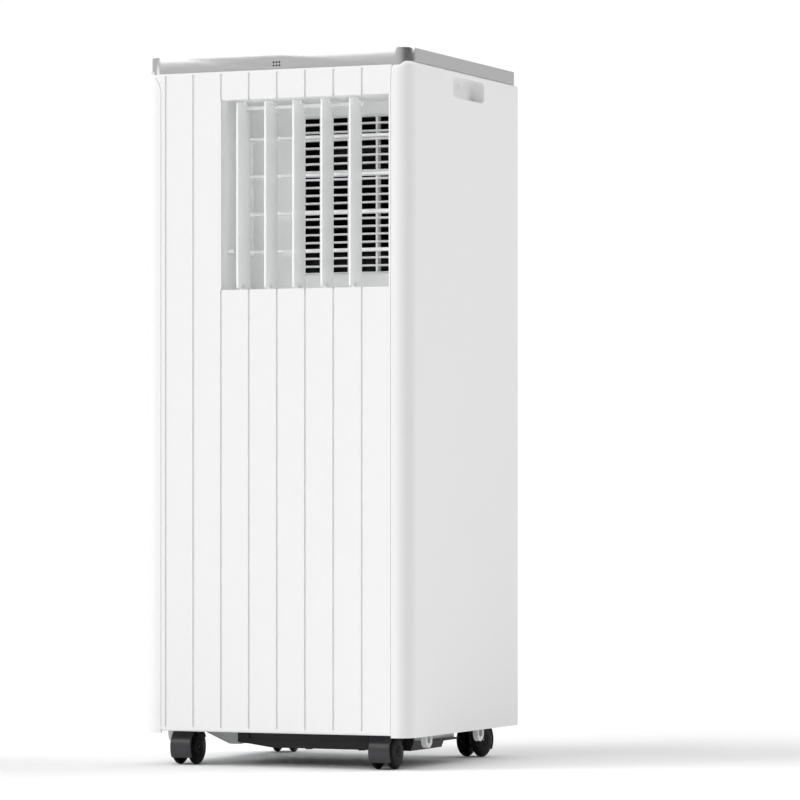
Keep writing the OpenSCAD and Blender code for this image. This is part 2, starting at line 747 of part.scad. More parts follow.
// Rotary compressor can with domed ends, a tripod foot and the suction accumulator beside it
acc_x = comp_x + 26;
acc_y = comp_y - 66;
module compressor() {
  dome = 96;
  h = comp_z1 - comp_z0;
  color(BLACK) {
    translate([comp_x, comp_y, comp_z0]) difference() {
      union() {
        intersection() {
          cylinder(r = comp_r, h = h);
          union() {
            translate([0, 0, h - dome]) sphere(dome);
            cylinder(r = dome, h = h - dome);
          }
        }
        rotate([0, 0, 30]) for (a = [0, 120, 240]) rotate([0, 0, a]) translate([0, -11, 0]) cube([foot_ring + 8, 22, 3]);
      }
      rotate([0, 0, 30]) for (a = [0, 120, 240]) rotate([0, 0, a]) translate([foot_ring, 0, -1]) cylinder(r = 4.5, h = 5);
    }
    translate([acc_x, acc_y, comp_z0 + 26]) {
      cylinder(r = 19, h = 90);
      translate([0, 0, 90]) cylinder(r1 = 19, r2 = 6, h = 12);
    }
    hull() for (p = [[acc_x, acc_y + 8], [comp_x + 10, comp_y - 40]])
      translate([p[0], p[1], comp_z0 + 60]) cylinder(r = 4, h = 12, $fn = 24);
  }
}

module compressor_feet() {
  floor_z = base_z + base_floor;
  color(BLACK) translate([comp_x, comp_y, 0]) rotate([0, 0, 30]) for (a = [0, 120, 240])
    rotate([0, 0, a]) translate([foot_ring, 0, floor_z]) {
      cylinder(r = 9, h = comp_z0 - floor_z - 0.1);
      cylinder(r = 4.2, h = comp_z0 - floor_z + 5);
    }
}

// A run of round tube through a list of points, its corners closed with balls
module tube(points, r) {
  for (i = [0 : len(points) - 2]) {
    a = points[i];
    d = points[i + 1] - a;
    l = norm(d);
    translate(a) rotate([0, acos(d[2] / l), atan2(d[1], d[0])]) cylinder(r = r, h = l);
  }
  for (i = [1 : len(points) - 2]) translate(points[i]) sphere(r);
}

module refrigerant_pipes() {
  top = comp_z1 - 2;
  riser_x = -side_x + 24;
  riser_y = coil_y0 - 24;
  link_z = (comp_z1 + cond_z1) / 2 + 3;
  color(COPPER) {
    tube([[comp_x - 10, comp_y, top], [comp_x - 10, comp_y, link_z], [comp_x - 10, coil_y0 - 12, link_z],
          [comp_x - 10, coil_y0 - 12, cond_z1 - 20], [comp_x - 10, coil_y0 + 2, cond_z1 - 20]], 4);
    tube([[acc_x, acc_y, comp_z0 + 126], [acc_x, acc_y, comp_z0 + 148], [-side_x + 14, acc_y, comp_z0 + 148],
          [-side_x + 14, riser_y, comp_z0 + 148], [riser_x, riser_y, comp_z0 + 160], [riser_x, riser_y, evap_z0 + 16],
          [riser_x + 14, coil_y0 + 2, evap_z0 + 30]], 4.8);
  }
}

// ---- Electrics ----

module electrical_box() {
  t = 2;
  color(STEEL) difference() {
    span(box_x, box_y, box_z);
    span([box_x[0] + t, box_x[1] - t], [box_y[0] - 1, box_y[1] - t], [box_z[0] + t, box_z[1] - t]);
  }
}

module control_board() {
  y1 = box_y[1] - 8;
  x = [box_x[0] + 8, box_x[1] - 8];
  z = [box_z[0] + 8, box_z[1] - 8];
  color(BOARD) {
    span(x, [y1 - 1.6, y1], z);
    for (px = x, pz = z)
      bar_y(2.5, y1 - eps, box_y[1] - 2, px + (px == x[0] ? 5 : -5), pz + (pz == z[0] ? 5 : -5));
    span([x[0] + 12, x[0] + 36], [y1 - 22, y1 - 1.5], [z[0] + 14, z[0] + 38]);
    span([x[0] + 44, x[0] + 60], [y1 - 16, y1 - 1.5], [z[0] + 14, z[0] + 32]);
    translate([x[0] + 24, y1 - 1.5, z[1] - 30]) rotate([90, 0, 0]) cylinder(r = 12, h = 30);
  }
}

// ---- Rear fittings ----

module intake_grille() {
  border = 9;
  y = [rear_face - wall - 2.5, rear_face + 1.5];
  bar_n = floor((intake_z1 - intake_z0 - 2 * border) / 9);
  color(WHITE) {
    difference() {
      span([-intake_half, intake_half], y, [intake_z0, intake_z1]);
      span([-intake_half + border, intake_half - border], [y[0] - 1, y[1] + 1],
           [intake_z0 + border, intake_z1 - border]);
    }
    for (k = [1 : bar_n])
      span([-intake_half + border - 1, intake_half - border + 1], y,
           [intake_z0 + border + 9 * k - 2.2, intake_z0 + border + 9 * k]);
    for (x = [-intake_half / 3, intake_half / 3])
      span([x - 1.5, x + 1.5], [y[0], y[1] - 1], [intake_z0 + 2, intake_z1 - 2]);
  }
}

module filter_mesh() {
  y1 = rear_face - wall - 2.5;
  color(BLACK) span([-intake_half + 4, intake_half - 4], [y1 - 2, y1], [intake_z0 + 4, intake_z1 - 4]);
}

// Rubber stopper: a plug in the spigot and a ribbed head outside
module drain_plug() {
  color(BLACK) {
    bar_y(spigot_bore - run, inner_rear - 4, rear_face + 2, drain_at[0], drain_at[1]);
    bar_y(spigot_r + 1, rear_face + 1.2, rear_face + 5, drain_at[0], drain_at[1]);
  }
}

module cord_gland() {
  neck = gland_r + 2.5;
  color(BLACK) difference() {
    union() {
      bar_y(neck, rear_face - wall - 4, rear_face + 5.5, gland_at[0], gland_at[1]);
      bar_y(neck + 3, rear_face + 0.1, rear_face + 3, gland_at[0], gland_at[1]);
      translate([gland_at[0], rear_face - wall - 0.1, gland_at[1]]) rotate([90, 0, 0]) cylinder(r = neck + 3, h = 3, $fn = 6);
    }
    bar_y(gland_r, rear_face - wall - 5, rear_face + 7, gland_at[0], gland_at[1]);
  }
}

module panel_screws() {
  handle_z = side_top - 15.65 + 3.8;
  handle_y = 8.5;
  floor_x = side_x - handle_deep;
  color(STEEL) {
    for (s = [-1, 1], z = rear_screw_z()) {
      bar_y(1.5, inner_rear - 8, rear_face + 0.5, s * rear_screw_x(), z);
      bar_y(3.2, rear_face + 0.1, rear_face + 2, s * rear_screw_x(), z);
    }
    for (s = [0, 1]) mirror([s, 0, 0]) {
      bar_x(1.6, floor_x - 8, floor_x + 0.5, handle_y, handle_z);
      bar_x(3.6, floor_x + 0.1, floor_x + 2.2, handle_y, handle_z);
    }
  }
}

// ---- Casters ----

// Stand a caster on its corner, turned about its stem
module at_corner(x, y) {
  turn = y < 0 ? 0 : 180 + x * rear_turn;
  translate([x * caster_x, stem_y(y), 0]) rotate([0, 0, turn]) children();
}

// Hooded fork: a cover over both wheels, a web between them and the stem
module caster_fork() {
  inner = wheel_r + hood_gap;
  outer = inner + hood_t;
  color(BLACK) difference() {
    union() {
      difference() {
        union() {
          translate([0, caster_trail, wheel_r]) rotate([0, 90, 0]) rotate([0, 0, 118])
            rotate_extrude(angle = 184) translate([inner - 0.2, -caster_w / 2]) square([hood_t + 0.2, caster_w]);
          translate([0, 0, wheel_r + 8]) cylinder(r = stem_r + 3, h = outer - 8 + 0.6);
        }
        bar_x(inner, -20, 20, caster_trail, wheel_r);
      }
      intersection() {
        bar_x(inner + eps, -web_t / 2, web_t / 2, caster_trail, wheel_r);
        span([-10, 10], [caster_trail - 30, caster_trail + 7], [wheel_r - 5, 60]);
      }
      cylinder_between(stem_r, wheel_r + inner - 0.5, socket_top - 2);
    }
    bar_x(axle_r + run, -10, 10, caster_trail, wheel_r);
  }
}
module cylinder_between(r, z0, z1) translate([0, 0, z0]) cylinder(r = r, h = z1 - z0);

module caster_axle() {
  color(STEEL) bar_x(axle_r, -caster_w / 2 + 1.2, caster_w / 2 - 1.2, caster_trail, wheel_r);
}

// Two wheels, each with a chamfered inner edge and a dished outer face
module caster_wheels() {
  inner = web_t / 2 + 1.2;
  outer = caster_w / 2;
  color(BLACK) for (s = [0, 1]) translate([0, caster_trail, wheel_r]) mirror([s, 0, 0]) rotate([0, 90, 0])
    rotate_extrude() polygon([[axle_r, inner], [wheel_r - 5, inner], [wheel_r - 1.2, inner + 3], [wheel_r, inner + 4.4],
                              [wheel_r, outer - 2], [wheel_r - 0.6, outer - 0.6], [wheel_r - 2, outer],
                              [wheel_r - 5, outer], [wheel_r - 7, outer - 1.2], [5, outer - 1.2], [4.4, outer - 0.4],
                              [2.4, outer - 0.4], [axle_r, outer - 1.2]]);
}

front_panel();
left_side_panel();
right_side_panel();
rear_panel();
top_cap();
control_panel();
display_lens();
button(0);  // button_power
button(1);  // button_mode
button(2);  // button_down
button(3);  // button_up
display_board();
base_pan();
compressor_tray();
mid_deck();
outlet_duct();
outlet_grille();
vane(1);  // vane_1
vane(2);  // vane_2
vane(3);  // vane_3
vane(4);  // vane_4
vane(5);  // vane_5
vane_link();
slat(1);  // slat_1
slat(2);  // slat_2
slat(3);  // slat_3
slat(4);  // slat_4
slat_link();
swing_motor();
upper_scroll();
upper_impeller();
upper_motor();
evaporator();
lower_scroll();
lower_impeller();
lower_motor();
condenser();
exhaust_collar();
compressor();
compressor_feet();
refrigerant_pipes();
electrical_box();
control_board();
intake_grille();
filter_mesh();
drain_plug();
cord_gland();
panel_screws();
at_corner(-1, -1) caster_fork();  // caster_fl_fork
at_corner(-1, -1) caster_axle();  // caster_fl_axle
at_corner(-1, -1) caster_wheels();  // caster_fl_wheels
at_corner(1, -1) caster_fork();  // caster_fr_fork
at_corner(1, -1) caster_axle();  // caster_fr_axle
at_corner(1, -1) caster_wheels();  // caster_fr_wheels
at_corner(-1, 1) caster_fork();  // caster_rl_fork
at_corner(-1, 1) caster_axle();  // caster_rl_axle
at_corner(-1, 1) caster_wheels();  // caster_rl_wheels
at_corner(1, 1) caster_fork();  // caster_rr_fork
at_corner(1, 1) caster_axle();  // caster_rr_axle
at_corner(1, 1) caster_wheels();  // caster_rr_wheels
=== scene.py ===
# Portable air conditioner: a narrow planked column cabinet with a louvred outlet, on four casters.
import json
from math import cos, pi, radians, sin, sqrt

import bmesh
import bpy
from mathutils import Matrix, Vector


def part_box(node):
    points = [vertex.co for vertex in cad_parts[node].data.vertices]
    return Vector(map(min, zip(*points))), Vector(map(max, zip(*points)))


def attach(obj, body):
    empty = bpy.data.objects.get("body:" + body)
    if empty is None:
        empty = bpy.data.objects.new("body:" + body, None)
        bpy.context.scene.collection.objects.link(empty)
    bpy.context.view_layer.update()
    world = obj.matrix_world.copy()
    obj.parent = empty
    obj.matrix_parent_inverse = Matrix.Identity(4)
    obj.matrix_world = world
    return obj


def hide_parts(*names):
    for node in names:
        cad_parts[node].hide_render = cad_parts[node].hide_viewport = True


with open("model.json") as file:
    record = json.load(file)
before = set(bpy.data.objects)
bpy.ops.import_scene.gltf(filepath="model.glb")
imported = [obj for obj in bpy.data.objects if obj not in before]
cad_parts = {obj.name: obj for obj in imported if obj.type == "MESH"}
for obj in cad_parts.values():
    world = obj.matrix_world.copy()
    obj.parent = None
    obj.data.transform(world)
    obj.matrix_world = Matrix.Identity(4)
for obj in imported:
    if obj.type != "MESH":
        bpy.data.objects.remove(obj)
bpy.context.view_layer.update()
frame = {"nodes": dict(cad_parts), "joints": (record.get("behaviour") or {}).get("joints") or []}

# ---- Studio ----
# A white sweep lit softly from all round, with broad lamps high on the left, in front and behind.
# A dark card, a bright strip and a light box beside the cabinet are what the silver cap mirrors.


class Wire:
    """A node's output; sums written with it add Math nodes."""

    def __init__(self, net, socket):
        self.net = net
        self.socket = socket

    def __add__(self, other):
        return self.net.maths("ADD", self, other)

    def __radd__(self, other):
        return self.net.maths("ADD", other, self)

    def __sub__(self, other):
        return self.net.maths("SUBTRACT", self, other)

    def __rsub__(self, other):
        return self.net.maths("SUBTRACT", other, self)

    def __mul__(self, other):
        return self.net.maths("MULTIPLY", self, other)

    def __rmul__(self, other):
        return self.net.maths("MULTIPLY", other, self)


class Net:
    """The node tree of a material or of the world."""

    def __init__(self, tree):
        self.tree = tree

    def add(self, kind, settings, inputs, output=0):
        node = self.tree.nodes.new(kind)
        for name, value in settings.items():
            if name == "stops":
                ramp = node.color_ramp
                while len(ramp.elements) < len(value):
                    ramp.elements.new(0.5)
                for stop, (place, level) in zip(ramp.elements, value):
                    stop.position = place
                    stop.color = (level, level, level, 1)
            else:
                setattr(node, name, value)
        for name, value in inputs.items():
            if isinstance(value, Wire):
                self.tree.links.new(value.socket, node.inputs[name])
            else:
                node.inputs[name].default_value = value
        return Wire(self, node.outputs[output])

    def maths(self, operation, first, second=0.0):
        return self.add("ShaderNodeMath", {"operation": operation}, {0: first, 1: second})

    def between(self, value, start, end):
        """0 before start, 1 after end, and a smooth change between them."""
        return self.add("ShaderNodeMapRange", {"interpolation_type": "SMOOTHSTEP"},
                        {"Value": value, "From Min": start, "From Max": end})

    def mix(self, first, second, share):
        return self.add("ShaderNodeMix", {"data_type": "RGBA"}, {0: share, 6: first, 7: second}, 2)


def material(name, **constants):
    """A new material, its net and its shader; constants go straight to the shader's sockets."""
    made = bpy.data.materials.new(name)
    made.use_nodes = True
    shader = made.node_tree.nodes["Principled BSDF"]
    for socket, value in constants.items():
        shader.inputs[socket.replace("_", " ")].default_value = value
    return made, Net(made.node_tree), shader


def feed(net, shader, wires):
    for socket, wire in wires.items():
        net.tree.links.new(wire.socket, shader.inputs[socket])


def towards(direction, start, end):
    """A soft-edged disc of the sky about a direction, by the cosine of the angle from it."""
    cosine = studio.add("ShaderNodeVectorMath", {"operation": "DOT_PRODUCT"},
                        {0: sky, 1: Vector(direction).normalized()}, "Value")
    return studio.between(cosine, start, end)


world = bpy.data.worlds.new("studio")
bpy.context.scene.world = world
world.use_nodes = True
studio = Net(world.node_tree)
sky = studio.add("ShaderNodeTexCoord", {}, {}, "Generated")
backdrop = towards((-0.3965, 0.918, 0.03), 0.93, 0.965)
card = towards((0.99, -0.139, 0), 0.30, 0.93)
overhead = towards((0, 0, 1), 0.1, 0.8)
strip = towards((0.669, 0.743, 0), 0.9945, 0.9985)
side_box = towards((-0.82, -0.57, 0), 0.960, 0.980)
level = 0.64 - 0.10 * overhead - 0.57 * card + 1.4 * strip + 1.0 * side_box
level = level + backdrop * (1.02 - level)
background = world.node_tree.nodes["Background"]
feed(studio, background, {"Strength": level})
background.inputs["Color"].default_value = (1, 1, 1, 1)

for name, strength, spread, source in (("high_left_lamp", 0.9, 24, (-0.52, -0.36, 0.80)),
                                       ("front_key_lamp", 0.90, 40, (-0.38, -0.66, 0.66)),
                                       ("rear_right_lamp", 1.25, 40, (0.62, 0.46, 0.62))):
    sun = bpy.data.lights.new(name, "SUN")
    sun.energy = strength
    sun.angle = radians(spread)
    lamp = bpy.data.objects.new(name, sun)
    lamp.rotation_euler = Vector(source).to_track_quat("Z", "Y").to_euler()
    bpy.context.scene.collection.objects.link(lamp)
bpy.context.scene.cycles.diffuse_bounces = 8

lens = bpy.data.cameras.new("camera")
lens.sensor_width = 36
lens.lens = 193.24
lens.shift_y = 0.1283
lens.clip_end = 200
camera = bpy.data.objects.new("camera", lens)
camera.location = (1.7258, -3.8310, 0.25207)
camera.rotation_euler = (radians(90), 0, radians(23.36))
bpy.context.scene.collection.objects.link(camera)
bpy.context.scene.camera = camera
bpy.context.scene.view_settings.view_transform = "Standard"

ground = bmesh.new()
bmesh.ops.create_grid(ground, x_segments=1, y_segments=1, size=60)
floor_mesh = bpy.data.meshes.new("floor")
ground.to_mesh(floor_mesh)
ground.free()
floor = bpy.data.objects.new("floor", floor_mesh)
bpy.context.scene.collection.objects.link(floor)
paper = material("white_sweep", Base_Color=(0.93, 0.93, 0.935, 1), Roughness=0.9, Specular_IOR_Level=0.1)[0]
floor_mesh.materials.append(paper)

# ---- Front panel ----
# One flat moulding of white ABS, 2.5 mm thick, with shallow grooves that make it look planked, a
# window for the air outlet and a soft lower lip. It clips between the two side panels.


def plastic(name, colour, roughness, mottle=0.02, spread=0.06, grain=0.00003, **constants):
    """Moulded plastic: faint clouds in its colour and sheen, and a fine spark-eroded grain."""
    made, net, shader = material(name, **constants)
    place = net.add("ShaderNodeTexCoord", {}, {}, "Object")
    clouds = net.add("ShaderNodeTexNoise", {}, {"Vector": place, "Scale": 11.0, "Detail": 3.0})
    pores = net.add("ShaderNodeTexNoise", {}, {"Vector": place, "Scale": 1500.0, "Detail": 1.0})
    dark = [c * (1 - 2 * mottle) for c in colour]
    feed(net, shader, {
        "Base Color": net.mix((*colour, 1), (*dark, 1), clouds),
        "Roughness": roughness - spread + 2 * spread * clouds,
        "Normal": net.add("ShaderNodeBump", {}, {"Height": pores, "Distance": grain, "Strength": 0.5})})
    return made


def box(node):
    """A CAD part's corners in millimetres. Meshes are worked in millimetres until piece()."""
    low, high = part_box(node)
    return low * 1000, high * 1000


def piece(name, bm, finish, slot, body, *nodes, rounding=0.0, wall=0.0):
    """Turn a finished bmesh into a piece of the model that rides on a body."""
    bmesh.ops.remove_doubles(bm, verts=bm.verts, dist=0.002)
    bmesh.ops.recalc_face_normals(bm, faces=bm.faces)
    if wall:
        bmesh.ops.solidify(bm, geom=bm.faces[:], thickness=wall)
    bmesh.ops.scale(bm, vec=(0.001, 0.001, 0.001), verts=bm.verts)
    mesh = bpy.data.meshes.new(name)
    bm.to_mesh(mesh)
    bm.free()
    mesh.polygons.foreach_set("use_smooth", [True] * len(mesh.polygons))
    mesh.set_sharp_from_angle(angle=radians(35))
    mesh.materials.append(finish)
    made = bpy.data.objects.new(name, mesh)
    bpy.context.scene.collection.objects.link(made)
    if rounding:
        edges = made.modifiers.new("rounded_edges", "BEVEL")
        edges.width = rounding / 1000
        edges.segments = 2
        edges.limit_method = "ANGLE"
        edges.angle_limit = radians(38)
        edges.harden_normals = True
    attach(made, body)
    if nodes:
        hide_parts(*nodes)
    return made


def outline(bm, corners):
    return bm.faces.new([bm.verts.new(corner) for corner in corners])


def cut(bm, axis, places, faces=None):
    """Slice the mesh, or only some of its faces, where one coordinate has these values."""
    normal = Vector((0, 0, 0))
    normal[axis] = 1
    for place in places:
        chosen = [f for f in bm.faces if faces is None or faces(f.calc_center_median())]
        edges = {e for f in chosen for e in f.edges}
        verts = {v for f in chosen for v in f.verts}
        bmesh.ops.bisect_plane(bm, geom=[*chosen, *edges, *verts], dist=0.0005,
                               plane_co=normal * place, plane_no=normal)


def push(bm, faces, move):
    """Extrude faces by a move, and return the moved ones. A lone sheet keeps its own face as a bottom."""
    joined = any(f not in faces for face in faces for e in face.edges for f in e.link_faces)
    grown = bmesh.ops.extrude_face_region(bm, geom=faces)["geom"]
    if joined:
        bmesh.ops.delete(bm, geom=faces, context="FACES")
    bmesh.ops.translate(bm, vec=move, verts=[g for g in grown if isinstance(g, bmesh.types.BMVert)])
    return [g for g in grown if isinstance(g, bmesh.types.BMFace)]


def faces_at(bm, test):
    return [f for f in bm.faces if test(f.calc_center_median())]


front_low, front_high = box("front_panel")
duct_low, duct_high = box("outlet_duct")
duct_wall = 2.5
window_x = (duct_low.x + duct_wall, duct_high.x - 1.8)
window_z = (duct_low.z + duct_wall, duct_high.z - duct_wall)
front_y = front_low.y
panel_top = front_high.z
seam_x = front_high.x + 0.15
plank = 29.4
corner_r = 16.0
corner_x = box("right_side_panel")[1].x - corner_r
seam_flare = {-1: 8.0, 1: 1.3}
flare_height = 16.0
flare_levels = [panel_top - flare_height * (1 - k / 5) for k in range(6)]


def flare(side, z):
    """How far the seam beside the front panel leans outwards near the cap."""
    return seam_flare[side] * max(0.0, (z - panel_top) / flare_height + 1) ** 1.6


def follow_corner(vert):
    """Set a point that has moved past the flat front back onto the corner's curve."""
    past = abs(vert.co.x) - corner_x
    if past > 0:
        vert.co.y += corner_r - sqrt(corner_r ** 2 - past ** 2)


white_abs = plastic("white_abs", (0.845, 0.845, 0.845), 0.44, mottle=0.008,
                    Specular_IOR_Level=0.45, Coat_Weight=0.08, Coat_Roughness=0.25)
grooves = [seam_x - plank * k for k in range(1, 9)]
groove_half, groove_deep = 1.0, 1.6
groove_low, groove_high = front_low.z + 4, panel_top - 2
front_wall = 2.5
lip_half, lip_deep = 82.0, 6.0
front = bmesh.new()
outline(front, [(x, front_y, z) for x, z in (
    (-front_high.x, front_low.z), (front_high.x, front_low.z),
    (front_high.x, panel_top), (-front_high.x, panel_top))])
cut(front, 0, [g + s * groove_half for g in grooves for s in (-1, 1)])
cut(front, 0, [*window_x, -lip_half, lip_half, front_low.x + 1.5, front_high.x - 1.5])
cut(front, 2, [*window_z, groove_low, groove_high, front_low.z + front_wall, *flare_levels[:-1]])
hole = faces_at(front, lambda c: window_x[0] < c.x < window_x[1] and window_z[0] < c.z < window_z[1])
bmesh.ops.delete(front, geom=hole, context="FACES")
push(front, front.faces[:], (0, front_wall, 0))
sunk = faces_at(front, lambda c: abs(c.y - front_y) < 0.01 and groove_low < c.z < groove_high
                and any(abs(c.x - g) < groove_half for g in grooves)
                and not (window_x[0] - 3 < c.x < window_x[0] and window_z[0] < c.z < window_z[1]))
push(front, sunk, (0, groove_deep, 0))
lip = faces_at(front, lambda c: abs(c.y - front_y - front_wall) < 0.01 and abs(c.x) < lip_half
               and c.z < front_low.z + front_wall)
push(front, lip, (0, lip_deep, 0))
for side in (-1, 1):
    for vert in front.verts:
        if side * vert.co.x > front_high.x - 0.01:
            vert.co.x += side * flare(side, vert.co.z)
            follow_corner(vert)
lower = [e for e in front.edges if all(abs(v.co.y - front_y) < 0.01 and abs(v.co.z - front_low.z) < 0.01
                                       for v in e.verts)]
bmesh.ops.bevel(front, geom=lower, affect="EDGES", offset=2.0, segments=5, profile=0.5, material=-1)
piece("planked_front", front, white_abs, "white_panel", "cabinet", "front_panel", rounding=0.3)

# ---- Side panels ----
# Each side is one white moulding that wraps round the front corner, rolls over at the top under
# the cap and holds a hand recess. A screw at the bottom of a deep hole fixes it to the frame.


def crest(facing):
    """How far the top edge has risen from the front's level, 0 to 1, by where the wall faces."""
    share = min(1.0, max(0.0, (facing - 0.25) / 0.5))
    return share * share * (3 - 2 * share)


def to_core(point, core_x, core_y):
    """Level direction from a point of the casing to the inside, square to the wall."""
    core = Vector((min(point.x, core_x), max(point.y, core_y), point.z))
    return (core - point).normalized()


def raise_rim(bm, rim, height, shrink, core):
    """Grow a wall upwards from its open rim: up by height(point) and inwards by shrink."""
    grown = bmesh.ops.extrude_edge_only(bm, edges=rim)["geom"]
    for vert in [g for g in grown if isinstance(g, bmesh.types.BMVert)]:
        inwards = to_core(vert.co, *core)
        vert.co.z = height(inwards)
        vert.co += inwards * shrink
    return [g for g in grown if isinstance(g, bmesh.types.BMEdge)]


def rounded_outline(bm, axis, centre, size, radius, segments=6):
    """A flat rounded rectangle square to one axis."""
    across, up = [a for a in (0, 1, 2) if a != axis]
    if 2 * radius >= max(size):
        aim = Vector([a == axis for a in (0, 1, 2)]).to_track_quat("Z", "Y").to_matrix().to_4x4()
        ring = bmesh.ops.create_circle(bm, cap_ends=True, segments=28, radius=radius,
                                       matrix=Matrix.Translation(centre) @ aim)["verts"]
        return next(f for f in ring[0].link_faces)
    corners = []
    for i, j in ((-1, -1), (1, -1), (1, 1), (-1, 1)):
        corner = Vector(centre)
        corner[across] += i * size[0] / 2
        corner[up] += j * size[1] / 2
        corners.append(corner)
    face = outline(bm, corners)
    bmesh.ops.bevel(bm, geom=face.verts[:], affect="VERTICES", offset=radius, segments=segments,
                    profile=0.5, material=-1)
    return max((f for f in bm.faces if all(abs(v.co[axis] - centre[axis]) < 0.001 for v in f.verts)
                and (f.calc_center_median() - Vector(centre)).length < 0.01), key=lambda f: len(f.verts))


def sink(bm, face, steps, direction):
    """Carry one face inwards through (narrowing, depth) steps."""
    for narrowing, depth in steps:
        bmesh.ops.inset_region(bm, faces=[face], thickness=max(narrowing, 0.001), use_even_offset=True)
        bmesh.ops.translate(bm, vec=Vector(direction) * depth, verts=face.verts[:])


def quarter(radius, hollow, segments=4):
    """(narrowing, depth) steps round a quarter circle, over an edge or into a hollow corner."""
    angles = [pi / 2 * k / segments for k in range(segments + 1)]
    run = [1 - cos(a) if hollow else sin(a) for a in angles]
    drop = [sin(a) if hollow else 1 - cos(a) for a in angles]
    return [(radius * (run[k + 1] - run[k]), radius * (drop[k + 1] - drop[k])) for k in range(segments)]


def let_in(bm, axis, centre, size, radius, steps, direction, margin=2.0):
    """Let a rounded recess into a flat wall: a patch comes out, and a ring joins its edge to the recess."""
    across, up = [a for a in (0, 1, 2) if a != axis]
    for a, width in zip((across, up), size):
        cut(bm, a, [centre[a] - width / 2 - margin, centre[a] + width / 2 + margin],
            lambda c: abs(c[axis] - centre[axis]) < 0.001)
    patch = faces_at(bm, lambda c: abs(c[axis] - centre[axis]) < 0.001
                     and all(abs(c[a] - centre[a]) < w / 2 + margin for a, w in zip((across, up), size)))
    edges = {e for f in patch for e in f.edges}
    edges = [e for e in edges if len([f for f in e.link_faces if f in patch]) == 1]
    bmesh.ops.delete(bm, geom=patch, context="FACES_ONLY")
    face = rounded_outline(bm, axis, centre, size, radius)
    bmesh.ops.bridge_loops(bm, edges=[*edges, *face.edges])
    sink(bm, face, steps, direction)
    return face


def trim(bm, geom, point, facing):
    """Cut away what lies past a plane, and close the cut."""
    edge = bmesh.ops.bisect_plane(bm, geom=geom, dist=0.0005, plane_co=point, plane_no=facing,
                                  clear_outer=True)["geom_cut"]
    bmesh.ops.contextual_create(bm, geom=[g for g in edge if isinstance(g, bmesh.types.BMEdge)])


def post(bm, radius, start, end, sides=24):
    """A round bar between two points."""
    start, end = Vector(start), Vector(end)
    place = Matrix.Translation((start + end) / 2) @ (end - start).to_track_quat("Z", "Y").to_matrix().to_4x4()
    return bmesh.ops.create_cone(bm, cap_ends=True, segments=sides, radius1=radius, radius2=radius,
                                 depth=(end - start).length, matrix=place)["verts"]


side_low, side_high = box("right_side_panel")
side_wall = 2.5
roll = 4.0
lip_under_cap = 3.0
handle = Vector((side_high.x, 8.5, side_high.z - 15.65))
handle_size = (77.0, 19.5)
handle_edge, handle_corner, handle_deep = 1.4, 3.5, 12.0
screw_well = handle - Vector((handle_deep, 0, -3.8))
screw_well_r, screw_well_deep = 4.0, 7.0
core = (corner_x, front_y + corner_r)


def side_top(inwards):
    return panel_top + (side_high.z - panel_top) * crest(-inwards.x)


def side_panel(side):
    """The right-hand moulding, or its mirror image."""
    bm = bmesh.new()
    seam = seam_x + 0.15
    foot = [Vector((seam, front_y, side_low.z)), Vector((corner_x, front_y, side_low.z))]
    for k in range(1, 13):
        turn = pi / 2 * k / 12
        foot.append(Vector((corner_x + corner_r * sin(turn), core[1] - corner_r * cos(turn), side_low.z)))
    foot.append(Vector((side_high.x, side_high.y, side_low.z)))
    verts = [bm.verts.new(p) for p in foot]
    rim = [bm.edges.new(pair) for pair in zip(verts, verts[1:])]
    rim = raise_rim(bm, rim, lambda n: side_top(n) - roll, 0, core)
    for k in range(1, 6):
        turn = pi / 2 * k / 5
        last = pi / 2 * (k - 1) / 5
        rim = raise_rim(bm, rim, lambda n: side_top(n) - roll + roll * sin(turn),
                        roll * (cos(last) - cos(turn)), core)
    raise_rim(bm, rim, side_top, lip_under_cap, core)
    recess = [*quarter(handle_edge, False), (0.3, handle_deep - handle_edge - handle_corner),
              *quarter(handle_corner, True, 5)]
    let_in(bm, 0, handle, [width + 2 * handle_edge for width in handle_size], 5.5, recess, (-1, 0, 0), 0.6)
    bmesh.ops.remove_doubles(bm, verts=bm.verts, dist=0.002)
    bmesh.ops.recalc_face_normals(bm, faces=bm.faces)
    bmesh.ops.solidify(bm, geom=bm.faces[:], thickness=side_wall)
    let_in(bm, 0, screw_well, (2 * screw_well_r, 2 * screw_well_r), screw_well_r,
           [*quarter(0.5, False, 2), (0.2, screw_well_deep)], (-1, 0, 0), 0.4)
    for low, high in zip(flare_levels, flare_levels[1:]):
        start, end = [Vector((seam + flare(side, z), 0, z)) for z in (low, high)]
        slope = end - start
        trim(bm, [*bm.verts, *bm.edges, *bm.faces], start, (-slope.z, 0, slope.x))
    post(bm, screw_well_r + 1.8, screw_well - Vector((screw_well_deep + 2.6, 0, 0)),
         screw_well - Vector((1, 0, 0)), 32)
    bmesh.ops.scale(bm, vec=(side, 1, 1), verts=bm.verts)
    return bm


for side, name in ((1, "right"), (-1, "left")):
    piece(f"{name}_side_casing", side_panel(side), white_abs, "white_panel", "cabinet",
          f"{name}_side_panel", rounding=0.25)

